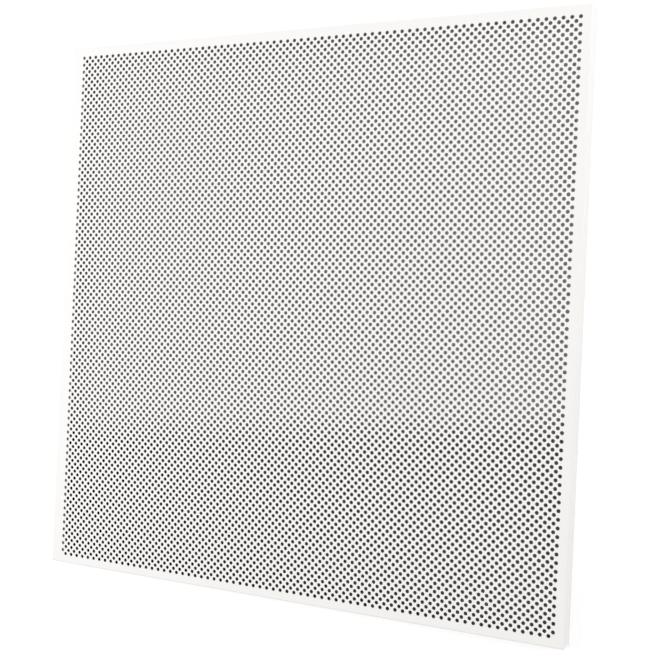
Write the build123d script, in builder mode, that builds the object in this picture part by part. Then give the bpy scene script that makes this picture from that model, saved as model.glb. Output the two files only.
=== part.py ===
import os

from build123d import *

# Perforated metal ceiling tile for a 600 mm lay-in grid, lying face up on its flanges.
# Millimetres, +Z up. The origin is on the floor, under the middle of the tile.

# Folded sheet
tile_side = 595.0
tile_depth = 20.0
sheet_thickness = 0.6
bend_radius = 2.0
corner_notch = 1.5

# Perforation: open round holes on a diagonal stagger, in rows half a pitch apart
hole_diameter = 3.8
hole_pitch = 8.0
plain_margin = 9.0
field_shift_x = 2.4
field_shift_y = -0.7

# The punched field is divided into strips, each with this many pairs of rows.
# The strips part between rows, so the holes stay narrower than half a pitch.
row_pairs_in_strip = 2

# Worked out from the sizes above: the field has as many holes as the margins leave room for
face_back = tile_depth - sheet_thickness
field_room = tile_side - 2 * plain_margin
holes_in_long_row = int(field_room // hole_pitch)
strip_width = row_pairs_in_strip * hole_pitch
strip_count = int(field_room // strip_width)
field_width = holes_in_long_row * hole_pitch
field_length = strip_count * strip_width

os.makedirs("parts", exist_ok=True)

# Rim: the plain margin of the face, its four bends and its four flanges, in one folded sheet
with BuildPart() as rim:
    Box(tile_side, tile_side, tile_depth, align=(Align.CENTER, Align.CENTER, Align.MIN))
    fillet(rim.faces().sort_by(Axis.Z)[-1].edges(), bend_radius)
    offset(amount=-sheet_thickness, openings=rim.faces().sort_by(Axis.Z)[0])
    # The flanges stop short of the corners, where the flat blank was notched for folding
    with BuildSketch(Plane.XY):
        with GridLocations(tile_side, tile_side, 2, 2):
            Rectangle(2 * corner_notch, 2 * corner_notch)
    extrude(amount=tile_depth - bend_radius, mode=Mode.SUBTRACT)
    # Window that the punched field fills
    with BuildSketch(Plane.XY.offset(face_back)):
        with Locations((field_shift_x, field_shift_y)):
            Rectangle(field_width, field_length)
    extrude(amount=sheet_thickness, mode=Mode.SUBTRACT)
rim.part.label = "rim"
export_step(rim.part, "parts/rim.step")

# One strip of the punched field: long rows of holes, with short rows set between them
with BuildPart() as field_strip:
    with BuildSketch(Plane.XY.offset(face_back)):
        Rectangle(field_width, strip_width)
        with Locations((0, hole_pitch / 4)):
            with GridLocations(hole_pitch, hole_pitch, holes_in_long_row, row_pairs_in_strip):
                Circle(hole_diameter / 2, mode=Mode.SUBTRACT)
        with Locations((0, -hole_pitch / 4)):
            with GridLocations(hole_pitch, hole_pitch, holes_in_long_row - 1, row_pairs_in_strip):
                Circle(hole_diameter / 2, mode=Mode.SUBTRACT)
    extrude(amount=sheet_thickness, clean=False)

# The strips lie edge to edge over the window, from the far side to the near side
first_strip_y = field_shift_y + (field_length - strip_width) / 2
for number in range(strip_count):
    with BuildPart() as placed_strip:
        with Locations((field_shift_x, first_strip_y - number * strip_width)):
            add(field_strip.part, clean=False)
    placed_strip.part.label = f"perforated_strip_{number + 1:02d}"
    export_step(placed_strip.part, f"parts/{placed_strip.part.label}.step", write_pcurves=False)
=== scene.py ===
"""Looks of a perforated metal ceiling tile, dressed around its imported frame.

The tile lies face up on its flanges, in metres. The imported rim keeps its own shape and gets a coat.
The punched face is made here in bands, at the places that the frame gives.
"""
import logging
import math
from dataclasses import dataclass, field
from enum import Enum

import bmesh
import bpy
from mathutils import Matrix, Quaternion, Vector


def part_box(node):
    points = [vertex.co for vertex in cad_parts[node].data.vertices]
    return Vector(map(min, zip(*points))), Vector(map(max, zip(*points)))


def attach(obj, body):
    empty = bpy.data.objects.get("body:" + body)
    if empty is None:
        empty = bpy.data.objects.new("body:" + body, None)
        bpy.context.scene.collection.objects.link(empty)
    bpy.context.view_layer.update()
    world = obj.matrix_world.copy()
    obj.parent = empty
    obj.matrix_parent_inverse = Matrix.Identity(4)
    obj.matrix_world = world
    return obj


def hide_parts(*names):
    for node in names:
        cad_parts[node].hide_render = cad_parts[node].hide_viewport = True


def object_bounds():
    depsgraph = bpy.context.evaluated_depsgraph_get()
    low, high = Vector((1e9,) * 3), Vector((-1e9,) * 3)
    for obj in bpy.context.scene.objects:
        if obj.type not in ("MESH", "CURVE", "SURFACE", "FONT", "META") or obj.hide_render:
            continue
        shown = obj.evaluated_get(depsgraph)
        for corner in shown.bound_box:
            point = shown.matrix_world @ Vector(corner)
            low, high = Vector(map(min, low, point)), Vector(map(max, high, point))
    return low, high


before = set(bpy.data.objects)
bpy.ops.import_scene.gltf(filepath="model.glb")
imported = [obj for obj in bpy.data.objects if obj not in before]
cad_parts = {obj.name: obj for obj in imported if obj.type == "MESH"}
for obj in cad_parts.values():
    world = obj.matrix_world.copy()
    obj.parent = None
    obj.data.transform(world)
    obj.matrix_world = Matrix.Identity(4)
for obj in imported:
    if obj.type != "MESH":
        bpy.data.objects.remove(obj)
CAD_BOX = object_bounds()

LOG = logging.getLogger("ceiling_tile")
BODY = "root"


class Slot(Enum):
    """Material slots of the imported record."""

    COAT = "white_coat"


class Node(Enum):
    """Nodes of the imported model, by name or by the start of a family's names."""

    RIM = "rim"
    STRIP = "perforated_strip_"


class Curve(Enum):
    """Ways to go from one end of a mapped range to the other."""

    STRAIGHT = "LINEAR"
    SOFT = "SMOOTHSTEP"


class NodeKit:
    """Short ways to add and join nodes in one node tree."""

    def __init__(self, tree: bpy.types.NodeTree) -> None:
        """Keep the tree that the nodes go into."""
        self.tree = tree

    def add(self, kind: str, **settings: object) -> bpy.types.Node:
        """Add a node.

        Args:
            kind: The node's type name.
            settings: Properties to set on the node.

        Returns:
            The new node.
        """
        node = self.tree.nodes.new(kind)
        for name, value in settings.items():
            setattr(node, name, value)
        return node

    def feed(self, source: object, target: bpy.types.NodeSocket) -> None:
        """Join an output socket to an input socket, or set the input to a plain value.

        Args:
            source: An output socket or a value.
            target: The input socket.
        """
        if isinstance(source, bpy.types.NodeSocket):
            self.tree.links.new(source, target)
        else:
            target.default_value = source

    def math(self, operation: str, first: object, second: object) -> bpy.types.NodeSocket:
        """Work out one sum of two numbers or sockets.

        Args:
            operation: The Math node's operation.
            first: A number or an output socket.
            second: A number or an output socket.

        Returns:
            The result's socket.
        """
        node = self.add("ShaderNodeMath", operation=operation)
        self.feed(first, node.inputs[0])
        self.feed(second, node.inputs[1])
        return node.outputs[0]

    def mapped(
        self,
        value: bpy.types.NodeSocket,
        source: tuple[float, float],
        target: tuple[float, float],
        curve: Curve = Curve.STRAIGHT,
    ) -> bpy.types.NodeSocket:
        """Map a number from one range to another, and hold it at the ends.

        Args:
            value: The number's socket.
            source: The range that it comes from.
            target: The range that it goes to.
            curve: How the result goes from one end to the other.

        Returns:
            The result's socket.
        """
        node = self.add("ShaderNodeMapRange", interpolation_type=curve.value)
        self.feed(value, node.inputs["Value"])
        node.inputs["From Min"].default_value, node.inputs["From Max"].default_value = source
        node.inputs["To Min"].default_value, node.inputs["To Max"].default_value = target
        return node.outputs["Result"]

    def vector(self, x: object, y: object, z: object) -> bpy.types.NodeSocket:
        """Join three numbers or sockets into a vector.

        Args:
            x: The first part.
            y: The second part.
            z: The third part.

        Returns:
            The vector's socket.
        """
        node = self.add("ShaderNodeCombineXYZ")
        for source, target in zip((x, y, z), node.inputs):
            self.feed(source, target)
        return node.outputs[0]


def started_material(name: str) -> tuple[bpy.types.Material, NodeKit, bpy.types.Node]:
    """Start a material that is made of nodes.

    Args:
        name: The material's name.

    Returns:
        The material, its node kit and its shader.
    """
    material = bpy.data.materials.new(name)
    material.use_nodes = True
    return material, NodeKit(material.node_tree), material.node_tree.nodes["Principled BSDF"]


def seen_directly(kit: NodeKit) -> bpy.types.NodeSocket:
    """Tell rays from the camera, and those reflected or let through to it, from lighting rays.

    Args:
        kit: The node kit of a material or world.

    Returns:
        A socket that is 1 on such rays.
    """
    path = kit.add("ShaderNodeLightPath")
    mirrored = kit.math("MAXIMUM", path.outputs["Is Glossy Ray"], path.outputs["Is Transmission Ray"])
    return kit.math("MAXIMUM", path.outputs["Is Camera Ray"], mirrored)


@dataclass(frozen=True)
class PowderCoat:
    """Matt white powder coat, with a fine orange peel and a faint mottle."""

    name: str = "white_powder_coat"
    colour: tuple[float, float, float] = (0.890, 0.872, 0.855)
    mottle_colour: tuple[float, float, float] = (0.872, 0.854, 0.837)
    mottle_size: float = 0.035
    mottle_detail: float = 3.0
    peel_size: float = 0.0011
    peel_detail: float = 1.5
    peel_height: float = 0.00002
    roughness: tuple[float, float] = (0.40, 0.52)
    specular: float = 0.35

    def material(self) -> bpy.types.Material:
        """Build the coat's material.

        Returns:
            The new material.
        """
        material, kit, shader = started_material(self.name)
        shader.inputs["Specular IOR Level"].default_value = self.specular
        place = kit.add("ShaderNodeTexCoord").outputs["Object"]

        mottle = kit.add("ShaderNodeTexNoise")
        kit.feed(place, mottle.inputs["Vector"])
        mottle.inputs["Scale"].default_value = 1.0 / self.mottle_size
        mottle.inputs["Detail"].default_value = self.mottle_detail
        tint = kit.add("ShaderNodeMix", data_type="RGBA")
        kit.feed(mottle.outputs["Fac"], tint.inputs["Factor"])
        tint.inputs["A"].default_value = (*self.mottle_colour, 1.0)
        tint.inputs["B"].default_value = (*self.colour, 1.0)
        kit.feed(tint.outputs["Result"], shader.inputs["Base Color"])

        peel = kit.add("ShaderNodeTexNoise")
        kit.feed(place, peel.inputs["Vector"])
        peel.inputs["Scale"].default_value = 1.0 / self.peel_size
        peel.inputs["Detail"].default_value = self.peel_detail
        dullness = kit.mapped(peel.outputs["Fac"], (0.0, 1.0), self.roughness)
        kit.feed(dullness, shader.inputs["Roughness"])
        bump = kit.add("ShaderNodeBump")
        bump.inputs["Distance"].default_value = self.peel_height
        kit.feed(peel.outputs["Fac"], bump.inputs["Height"])
        kit.feed(bump.outputs["Normal"], shader.inputs["Normal"])
        return material


@dataclass(frozen=True)
class PaintedShadeCard:
    """Painted shade under the open holes: a matt grey sheet, lighter on its far part than on its near part,
    and lighter from left to right.

    Each part has a tone at its left side and one at its right side. The parts meet in a soft line.
    """

    name: str = "painted_shade_card"
    # Tones of the painted shade, at the left and right sides of each part.
    far_tones: tuple[float, float] = (0.16, 0.49)
    far_tint: tuple[float, float, float] = (1.0, 0.98, 0.96)
    near_tones: tuple[float, float] = (0.015, 0.205)
    near_tint: tuple[float, float, float] = (1.0, 0.91, 0.90)
    half_side: float = 0.29
    change_place: tuple[float, float] = (0.0, -0.117)
    change_turn_deg: float = 4.8
    change_width: float = 0.045
    roughness: float = 0.9

    def material(self) -> bpy.types.Material:
        """Build the card's material.

        Returns:
            The new material.
        """
        material, kit, shader = started_material(self.name)
        shader.inputs["Roughness"].default_value = self.roughness
        shader.inputs["Specular IOR Level"].default_value = 0.0
        place = kit.add("ShaderNodeTexCoord").outputs["Object"]
        along = kit.add("ShaderNodeSeparateXYZ")
        kit.feed(place, along.inputs[0])
        far = self.shaded(kit, along.outputs["X"], self.far_tones, self.far_tint)
        near = self.shaded(kit, along.outputs["X"], self.near_tones, self.near_tint)

        turned = kit.add("ShaderNodeMapping", vector_type="TEXTURE")
        kit.feed(place, turned.inputs["Vector"])
        turned.inputs["Location"].default_value = (*self.change_place, 0.0)
        turned.inputs["Rotation"].default_value = (0.0, 0.0, math.radians(self.change_turn_deg))
        across = kit.add("ShaderNodeSeparateXYZ")
        kit.feed(turned.outputs["Vector"], across.inputs[0])
        width = (-self.change_width / 2, self.change_width / 2)
        blend = kit.mapped(across.outputs["Y"], width, (0.0, 1.0), Curve.SOFT)
        tone = kit.add("ShaderNodeMix", data_type="RGBA")
        kit.feed(blend, tone.inputs["Factor"])
        kit.feed(near, tone.inputs["A"])
        kit.feed(far, tone.inputs["B"])
        kit.feed(tone.outputs["Result"], shader.inputs["Base Color"])
        return material

    def shaded(
        self,
        kit: NodeKit,
        along: bpy.types.NodeSocket,
        tones: tuple[float, float],
        tint: tuple[float, float, float],
    ) -> bpy.types.NodeSocket:
        """Paint the shade's tint from the sheet's left side to its right side.

        Args:
            kit: The material's node kit.
            along: The place from left to right.
            tones: How light the card is at its two sides.
            tint: The tint at a tone of 1.

        Returns:
            The shaded colour's socket.
        """
        scaled = kit.add("ShaderNodeVectorMath", operation="SCALE")
        scaled.inputs[0].default_value = tint
        kit.feed(kit.mapped(along, (-self.half_side, self.half_side), tones), scaled.inputs["Scale"])
        return scaled.outputs["Vector"]


@dataclass(frozen=True)
class WhiteFloor:
    """Pale studio floor that reads as white, and keeps the tile's shadow."""

    name: str = "white_floor"
    colour: tuple[float, float, float] = (0.88, 0.88, 0.88)
    roughness: float = 0.9
    lifts: tuple[float, float] = (0.23, 0.36)
    lift_reach: tuple[float, float] = (0.40, 1.60)

    def material(self) -> bpy.types.Material:
        """Build the floor's material, with a lift in brightness that only direct views and reflections see.

        The lift is small near the tile, where its shadow lies, and grows away from it.

        Returns:
            The new material.
        """
        material, kit, shader = started_material(self.name)
        shader.inputs["Base Color"].default_value = (*self.colour, 1.0)
        shader.inputs["Roughness"].default_value = self.roughness
        shader.inputs["Specular IOR Level"].default_value = 0.0
        shader.inputs["Emission Color"].default_value = (1.0, 1.0, 1.0, 1.0)
        away = kit.add("ShaderNodeVectorMath", operation="LENGTH")
        kit.feed(kit.add("ShaderNodeTexCoord").outputs["Object"], away.inputs[0])
        lift = kit.mapped(away.outputs["Value"], self.lift_reach, self.lifts, Curve.SOFT)
        kit.feed(kit.math("MULTIPLY", seen_directly(kit), lift), shader.inputs["Emission Strength"])
        return material


def grown_mesh(
    tree: bpy.types.NodeTree, seed: bpy.types.Mesh, name: str, values: dict[str, object]
) -> bpy.types.Mesh:
    """Run a Geometry Nodes tree on a mesh and keep the result as a plain mesh.

    Args:
        tree: The tree, whose first input is the mesh.
        seed: The mesh that it starts from.
        name: The new mesh's name.
        values: The other inputs, by name.

    Returns:
        The plain mesh.
    """
    host = bpy.data.objects.new(name + "_host", seed)
    bpy.context.scene.collection.objects.link(host)
    modifier = host.modifiers.new("grow", "NODES")
    modifier.node_group = tree
    for item in tree.interface.items_tree:
        if item.in_out == "INPUT" and item.name in values:
            modifier[item.identifier] = values[item.name]
    shown = host.evaluated_get(bpy.context.evaluated_depsgraph_get())
    mesh = bpy.data.meshes.new_from_object(shown)
    mesh.name = name
    host.modifiers.remove(modifier)
    bpy.data.objects.remove(host)
    return mesh


def place_piece(name: str, mesh: bpy.types.Mesh, nodes: list[str]) -> bpy.types.Object:
    """Put a finished mesh in the scene as a piece of the tile.

    Args:
        name: The piece's name.
        mesh: Its mesh, with its place in its vertices.
        nodes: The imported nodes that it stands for.

    Returns:
        The new object.
    """
    piece = bpy.data.objects.new(name, mesh)
    bpy.context.scene.collection.objects.link(piece)
    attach(piece, BODY)
    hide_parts(*nodes)
    return piece


@dataclass
class FoldedRim:
    """The plain margin, bends and flanges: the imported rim, coated."""

    coat: bpy.types.Material

    def dress(self) -> bpy.types.Object:
        """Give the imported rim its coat.

        Returns:
            The rim's object.
        """
        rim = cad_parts[Node.RIM.value]
        rim.data.materials.clear()
        rim.data.materials.append(self.coat)
        return rim


@dataclass
class PunchedFace:
    """The punched field, in bands of rows of round holes."""

    coat: bpy.types.Material
    hole_diameter: float = 0.0038
    hole_pitch: float = 0.008
    hole_sides: int = 16
    smooth_turn_deg: float = 40.0
    bands: int = 6
    weld: float = 0.000002
    strips: list[str] = field(init=False)
    thickness: float = field(init=False)
    holes_in_long_row: int = field(init=False)
    row_pairs_in_strip: int = field(init=False)

    def __post_init__(self) -> None:
        """Read the field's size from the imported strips."""
        self.strips = sorted(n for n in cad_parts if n.startswith(Node.STRIP.value))
        low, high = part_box(self.strips[0])
        self.thickness = high.z - low.z
        self.holes_in_long_row = round((high.x - low.x) / self.hole_pitch)
        self.row_pairs_in_strip = round((high.y - low.y) / self.hole_pitch)

    def cell(self) -> bpy.types.Mesh:
        """Make the sheet round one hole: its face, the hole's wall and its back.

        Returns:
            The cell's mesh, open at its sides, with the face at height zero.
        """
        mesh = bpy.data.meshes.new("hole_cell")
        shape = bmesh.new()
        half_x, half_y = self.hole_pitch / 2, self.hole_pitch / 4
        outline = [(x, y) for y in (-half_y, half_y) for x in (-half_x, 0.0, half_x)]
        rings = []
        for height, upwards in ((0.0, True), (-self.thickness, False)):
            border = [shape.verts.new((x, y, height)) for x, y in outline]
            rings.append(self.ring(shape, height))
            self.fill(shape, border, rings[-1], upwards)
        upper, lower = rings
        for i in range(self.hole_sides):
            j = (i + 1) % self.hole_sides
            shape.faces.new((upper[i], upper[j], lower[j], lower[i]))
        shape.to_mesh(mesh)
        shape.free()
        return mesh

    def ring(self, shape: bmesh.types.BMesh, height: float) -> list[bmesh.types.BMVert]:
        """Add a ring of points round the hole, with as much room inside as the round hole has.

        Args:
            shape: The mesh being made.
            height: The ring's height.

        Returns:
            The points, anticlockwise from above.
        """
        step = 2 * math.pi / self.hole_sides
        reach = self.hole_diameter / 2 * math.sqrt(step / math.sin(step))
        turns = (i * step for i in range(self.hole_sides))
        return [shape.verts.new((reach * math.cos(t), reach * math.sin(t), height)) for t in turns]

    @staticmethod
    def fill(
        shape: bmesh.types.BMesh,
        outer: list[bmesh.types.BMVert],
        inner: list[bmesh.types.BMVert],
        upwards: bool,
    ) -> None:
        """Fill the flat space between the cell's outline and a ring, walking round both by angle.

        Args:
            shape: The mesh being made.
            outer: The outline's points, in any order.
            inner: The ring's points, anticlockwise.
            upwards: Whether the faces look up.
        """

        def angle(point: bmesh.types.BMVert) -> float:
            """Turn of a point about the hole's middle, from 0 to a full turn."""
            return math.atan2(point.co.y, point.co.x) % (2 * math.pi)

        def add(*corners: bmesh.types.BMVert) -> None:
            """Add one face, turned to look the right way."""
            shape.faces.new(corners if upwards else corners[::-1])

        outer = sorted(outer, key=angle)
        i = j = 0
        while i < len(outer) or j < len(inner):
            here_out, here_in = outer[i % len(outer)], inner[j % len(inner)]
            next_out, next_in = outer[(i + 1) % len(outer)], inner[(j + 1) % len(inner)]
            out_turn = angle(next_out) + (2 * math.pi if i + 1 >= len(outer) else 0.0)
            in_turn = angle(next_in) + (2 * math.pi if j + 1 >= len(inner) else 0.0)
            if j >= len(inner) or (i < len(outer) and out_turn <= in_turn):
                add(here_out, next_out, here_in)
                i += 1
            else:
                add(here_out, next_in, here_in)
                j += 1

    def tree(self) -> bpy.types.NodeTree:
        """Build the Geometry Nodes that lay the cells out in staggered rows and close the band's border.

        Returns:
            The node tree.
        """
        tree = bpy.data.node_groups.new("punched_band", "GeometryNodeTree")
        sockets = (
            ("Cell", "NodeSocketGeometry"),
            ("Hole Pitch", "NodeSocketFloat"),
            ("Holes In Long Row", "NodeSocketInt"),
            ("Row Pairs", "NodeSocketInt"),
            ("Thickness", "NodeSocketFloat"),
            ("Weld Distance", "NodeSocketFloat"),
            ("Band Centre", "NodeSocketVector"),
            ("Coat", "NodeSocketMaterial"),
        )
        for name, kind in sockets:
            tree.interface.new_socket(name, in_out="INPUT", socket_type=kind)
        tree.interface.new_socket("Band", in_out="OUTPUT", socket_type="NodeSocketGeometry")
        kit = NodeKit(tree)
        given = kit.add("NodeGroupInput").outputs
        pitch, long_row, pairs = given["Hole Pitch"], given["Holes In Long Row"], given["Row Pairs"]
        quarter = kit.math("DIVIDE", pitch, 4.0)
        down = kit.math("MULTIPLY", given["Thickness"], -1.0)
        short_row = kit.math("SUBTRACT", long_row, 1.0)
        short_span = kit.math("MULTIPLY", short_row, pitch)
        ends_span = kit.math("ADD", short_span, kit.math("DIVIDE", pitch, 2.0))
        below = kit.math("MULTIPLY", quarter, -1.0)
        plug = self.end_plug(kit, kit.math("DIVIDE", pitch, 2.0), down)
        rows = (
            (given["Cell"], long_row, short_span, quarter),
            (given["Cell"], short_row, kit.math("SUBTRACT", short_span, pitch), below),
            (plug, 2, ends_span, below),
        )
        join = kit.add("GeometryNodeJoinGeometry")
        for cell, count, span, lift in rows:
            kit.feed(self.laid_out(kit, cell, (count, pairs), (span, pitch), lift), join.inputs[0])
        realize = kit.add("GeometryNodeRealizeInstances")
        kit.feed(join.outputs[0], realize.inputs[0])
        welded = self.welded(kit, realize.outputs[0], given["Weld Distance"])
        closed = self.bordered(kit, welded, given["Thickness"])
        whole = self.welded(kit, closed, given["Weld Distance"])
        move = kit.add("GeometryNodeSetPosition")
        kit.feed(whole, move.inputs["Geometry"])
        kit.feed(given["Band Centre"], move.inputs["Offset"])
        coat = kit.add("GeometryNodeSetMaterial")
        kit.feed(move.outputs[0], coat.inputs["Geometry"])
        kit.feed(given["Coat"], coat.inputs["Material"])
        out = kit.add("NodeGroupOutput")
        kit.feed(coat.outputs[0], out.inputs[0])
        return tree

    @staticmethod
    def laid_out(
        kit: NodeKit,
        cell: bpy.types.NodeSocket,
        counts: tuple[object, object],
        spans: tuple[object, object],
        lift: bpy.types.NodeSocket,
    ) -> bpy.types.NodeSocket:
        """Lay a cell out on a grid of points.

        Args:
            kit: The tree's node kit.
            cell: The geometry to repeat.
            counts: How many along X, and how many rows.
            spans: The distance from first to last along X, and from row to row.
            lift: How far the rows lie from the band's middle.

        Returns:
            The instances' socket.
        """
        grid = kit.add("GeometryNodeMeshGrid")
        rows_between = kit.math("SUBTRACT", counts[1], 1.0)
        kit.feed(spans[0], grid.inputs["Size X"])
        kit.feed(kit.math("MULTIPLY", rows_between, spans[1]), grid.inputs["Size Y"])
        kit.feed(counts[0], grid.inputs["Vertices X"])
        kit.feed(counts[1], grid.inputs["Vertices Y"])
        shift = kit.add("GeometryNodeSetPosition")
        kit.feed(grid.outputs["Mesh"], shift.inputs["Geometry"])
        kit.feed(kit.vector(0.0, lift, 0.0), shift.inputs["Offset"])
        lay = kit.add("GeometryNodeInstanceOnPoints")
        kit.feed(shift.outputs[0], lay.inputs["Points"])
        kit.feed(cell, lay.inputs["Instance"])
        return lay.outputs[0]

    @staticmethod
    def end_plug(
        kit: NodeKit, side: bpy.types.NodeSocket, down: bpy.types.NodeSocket
    ) -> bpy.types.NodeSocket:
        """Make the plain square of sheet at the end of a short row, its face and its back.

        Args:
            kit: The tree's node kit.
            side: The square's side.
            down: The height of its back.

        Returns:
            The square's geometry.
        """
        face = kit.add("GeometryNodeMeshGrid")
        kit.feed(side, face.inputs["Size X"])
        kit.feed(side, face.inputs["Size Y"])
        kit.feed(2, face.inputs["Vertices X"])
        kit.feed(2, face.inputs["Vertices Y"])
        turned = kit.add("GeometryNodeFlipFaces")
        kit.feed(face.outputs["Mesh"], turned.inputs["Mesh"])
        lowered = kit.add("GeometryNodeSetPosition")
        kit.feed(turned.outputs[0], lowered.inputs["Geometry"])
        kit.feed(kit.vector(0.0, 0.0, down), lowered.inputs["Offset"])
        join = kit.add("GeometryNodeJoinGeometry")
        kit.feed(face.outputs["Mesh"], join.inputs[0])
        kit.feed(lowered.outputs[0], join.inputs[0])
        return join.outputs[0]

    @staticmethod
    def welded(
        kit: NodeKit, geometry: bpy.types.NodeSocket, distance: bpy.types.NodeSocket
    ) -> bpy.types.NodeSocket:
        """Merge the points that lie on each other.

        Args:
            kit: The tree's node kit.
            geometry: The mesh to merge.
            distance: How close such points are.

        Returns:
            The merged mesh.
        """
        merge = kit.add("GeometryNodeMergeByDistance")
        kit.feed(geometry, merge.inputs["Geometry"])
        kit.feed(distance, merge.inputs["Distance"])
        return merge.outputs[0]

    @staticmethod
    def bordered(
        kit: NodeKit, geometry: bpy.types.NodeSocket, thickness: bpy.types.NodeSocket
    ) -> bpy.types.NodeSocket:
        """Draw the face's open border down to the back's.

        Args:
            kit: The tree's node kit.
            geometry: The mesh with a face and a back.
            thickness: The sheet's thickness.

        Returns:
            The mesh with its border walls.
        """
        faces = kit.add("GeometryNodeInputMeshEdgeNeighbors").outputs[0]
        open_edge = kit.add("FunctionNodeCompare", data_type="INT", operation="EQUAL")
        kit.feed(faces, open_edge.inputs["A"])
        open_edge.inputs["B"].default_value = 1
        height = kit.add("ShaderNodeSeparateXYZ")
        kit.feed(kit.add("GeometryNodeInputPosition").outputs[0], height.inputs[0])
        middle = kit.math("MULTIPLY", thickness, -0.5)
        above = kit.math("GREATER_THAN", height.outputs["Z"], middle)
        chosen = kit.add("FunctionNodeBooleanMath", operation="AND")
        kit.feed(open_edge.outputs[0], chosen.inputs[0])
        kit.feed(above, chosen.inputs[1])
        drawn = kit.add("GeometryNodeExtrudeMesh", mode="EDGES")
        kit.feed(geometry, drawn.inputs["Mesh"])
        kit.feed(chosen.outputs[0], drawn.inputs["Selection"])
        kit.feed(kit.vector(0.0, 0.0, -1.0), drawn.inputs["Offset"])
        kit.feed(thickness, drawn.inputs["Offset Scale"])
        return drawn.outputs[0]

    def build(self) -> list[bpy.types.Object]:
        """Make every band of the field.

        Returns:
            The bands, from the far side to the near side.
        """
        tree = self.tree()
        cell = self.cell()
        in_band = len(self.strips) // self.bands
        pieces = []
        for number in range(self.bands):
            nodes = self.strips[number * in_band:(number + 1) * in_band]
            pieces.append(self.band(tree, cell, f"punched_band_{number + 1}", nodes))
        return pieces

    def band(
        self, tree: bpy.types.NodeTree, cell: bpy.types.Mesh, name: str, nodes: list[str]
    ) -> bpy.types.Object:
        """Make one band in place of its packed strips.

        Args:
            tree: The Geometry Nodes tree.
            cell: The mesh round one hole.
            name: The band's name.
            nodes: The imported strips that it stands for.

        Returns:
            The band's object.
        """
        boxes = [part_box(n) for n in nodes]
        low = Vector(map(min, *(b[0] for b in boxes)))
        high = Vector(map(max, *(b[1] for b in boxes)))
        values = {
            "Hole Pitch": self.hole_pitch,
            "Holes In Long Row": self.holes_in_long_row,
            "Row Pairs": self.row_pairs_in_strip * len(nodes),
            "Thickness": self.thickness,
            "Weld Distance": self.weld,
            "Band Centre": ((low.x + high.x) / 2, (low.y + high.y) / 2, high.z),
            "Coat": self.coat,
        }
        mesh = grown_mesh(tree, cell, name, values)
        mesh.shade_smooth()
        mesh.set_sharp_from_angle(angle=math.radians(self.smooth_turn_deg))
        return place_piece(name, mesh, nodes)


@dataclass(frozen=True)
class Lamp:
    """A large soft round lamp, turned to the middle of the tile."""

    name: str
    place: tuple[float, float, float]
    size: float
    watts: float

    def hang(self) -> None:
        """Hang the lamp in its place."""
        light = bpy.data.lights.new(self.name, "AREA")
        light.shape = "DISK"
        light.size = self.size
        light.energy = self.watts
        lamp = bpy.data.objects.new(self.name, light)
        lamp.location = self.place
        lamp.rotation_mode = "QUATERNION"
        lamp.rotation_quaternion = (-Vector(self.place)).to_track_quat("-Z", "Y")
        bpy.context.scene.collection.objects.link(lamp)


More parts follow.
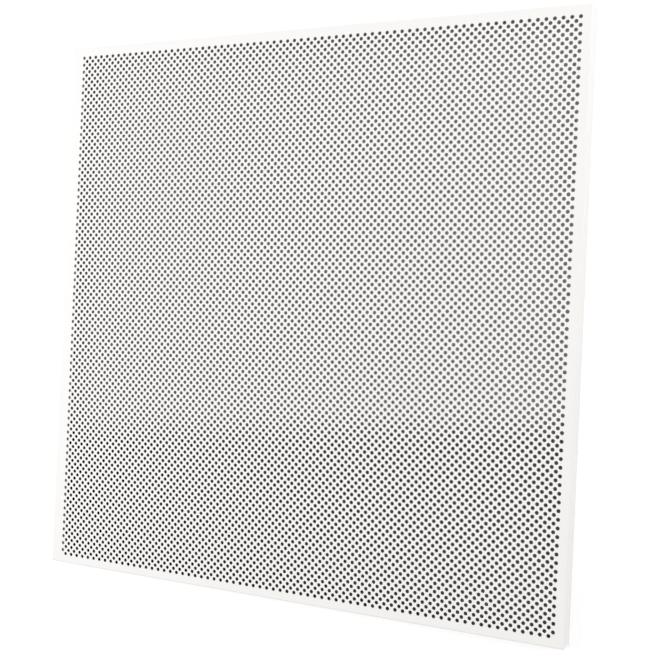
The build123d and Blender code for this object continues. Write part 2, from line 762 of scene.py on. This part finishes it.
@dataclass
class Studio:
    """Floor, a sheet of painted shade under the open holes, soft light and the camera at the photograph's
    angle.
    """

    floor_half_side: float = 4.0
    shade_sheet_inset: float = 0.0016
    shade_sheet_height: float = 0.0002
    sky_light: float = 0.77
    sky_seen: float = 1.0
    lamps: tuple[Lamp, ...] = (
        Lamp("key", (-1.3, 0.15, 1.4), 1.4, 11.5),
        Lamp("fill", (1.25, 0.85, 0.6), 0.9, 6.2),
    )
    camera_place: tuple[float, float, float] = (0.49270, -0.00589, 0.97696)
    camera_aim: tuple[float, float, float] = (0.04034, -0.00936, 0.020)
    camera_roll_deg: float = -87.828
    camera_nearest: float = 0.01
    focal_px: float = 1035.5
    photo_px: float = 650.0
    sensor_mm: float = 36.0

    @staticmethod
    def ground(name: str, half_side: float, height: float, finish: bpy.types.Material) -> None:
        """Lay a level square under the tile, as part of the stage.

        Args:
            name: The square's name.
            half_side: Half its side.
            height: Its height.
            finish: Its material.
        """
        mesh = bpy.data.meshes.new(name)
        corners = [(x * half_side, y * half_side, height) for x, y in ((-1, -1), (1, -1), (1, 1), (-1, 1))]
        mesh.from_pydata(corners, [], [(0, 1, 2, 3)])
        mesh.materials.append(finish)
        square = bpy.data.objects.new(name, mesh)
        bpy.context.scene.collection.objects.link(square)

    def world(self) -> None:
        """Light the scene evenly from all round, and show white where a view passes the floor."""
        world = bpy.data.worlds.new("studio")
        world.use_nodes = True
        bpy.context.scene.world = world
        kit = NodeKit(world.node_tree)
        sky = world.node_tree.nodes["Background"]
        sky.inputs["Color"].default_value = (1.0, 1.0, 1.0, 1.0)
        level = kit.add("ShaderNodeMix")
        kit.feed(seen_directly(kit), level.inputs["Factor"])
        level.inputs["A"].default_value = self.sky_light
        level.inputs["B"].default_value = self.sky_seen
        kit.feed(level.outputs["Result"], sky.inputs["Strength"])

    def camera(self) -> None:
        """Set the camera where the photograph was taken from."""
        lens = bpy.data.cameras.new("camera")
        lens.sensor_width = self.sensor_mm
        lens.lens = self.sensor_mm * self.focal_px / self.photo_px
        lens.clip_start = self.camera_nearest
        camera = bpy.data.objects.new("camera", lens)
        camera.location = self.camera_place
        camera.rotation_mode = "QUATERNION"
        ahead = Vector(self.camera_aim) - Vector(self.camera_place)
        roll = Quaternion((0.0, 0.0, 1.0), math.radians(self.camera_roll_deg))
        camera.rotation_quaternion = ahead.to_track_quat("-Z", "Y") @ roll
        bpy.context.scene.collection.objects.link(camera)
        bpy.context.scene.camera = camera

    def build(self) -> None:
        """Set up the whole studio."""
        bpy.context.scene.view_settings.view_transform = "Standard"
        # The sheet of painted shade lies just inside the tile's outline and shows only through the open
        # holes.
        shade_sheet_half_side = CAD_BOX[1].x - self.shade_sheet_inset
        self.ground("floor", self.floor_half_side, 0.0, WhiteFloor().material())
        self.ground("painted_shade_sheet", shade_sheet_half_side, self.shade_sheet_height, PaintedShadeCard().material())
        self.world()
        for lamp in self.lamps:
            lamp.hang()
        self.camera()


def main() -> None:
    """Build the tile's pieces in order, report each one, and set the studio round them."""
    logging.basicConfig(level=logging.INFO, format="%(message)s")
    coat = PowderCoat().material()
    pieces = [FoldedRim(coat).dress(), *PunchedFace(coat).build()]
    for piece in pieces:
        LOG.info("%s: %d faces", piece.name, len(piece.data.polygons))
    Studio().build()


if __name__ == "__main__":
    main()
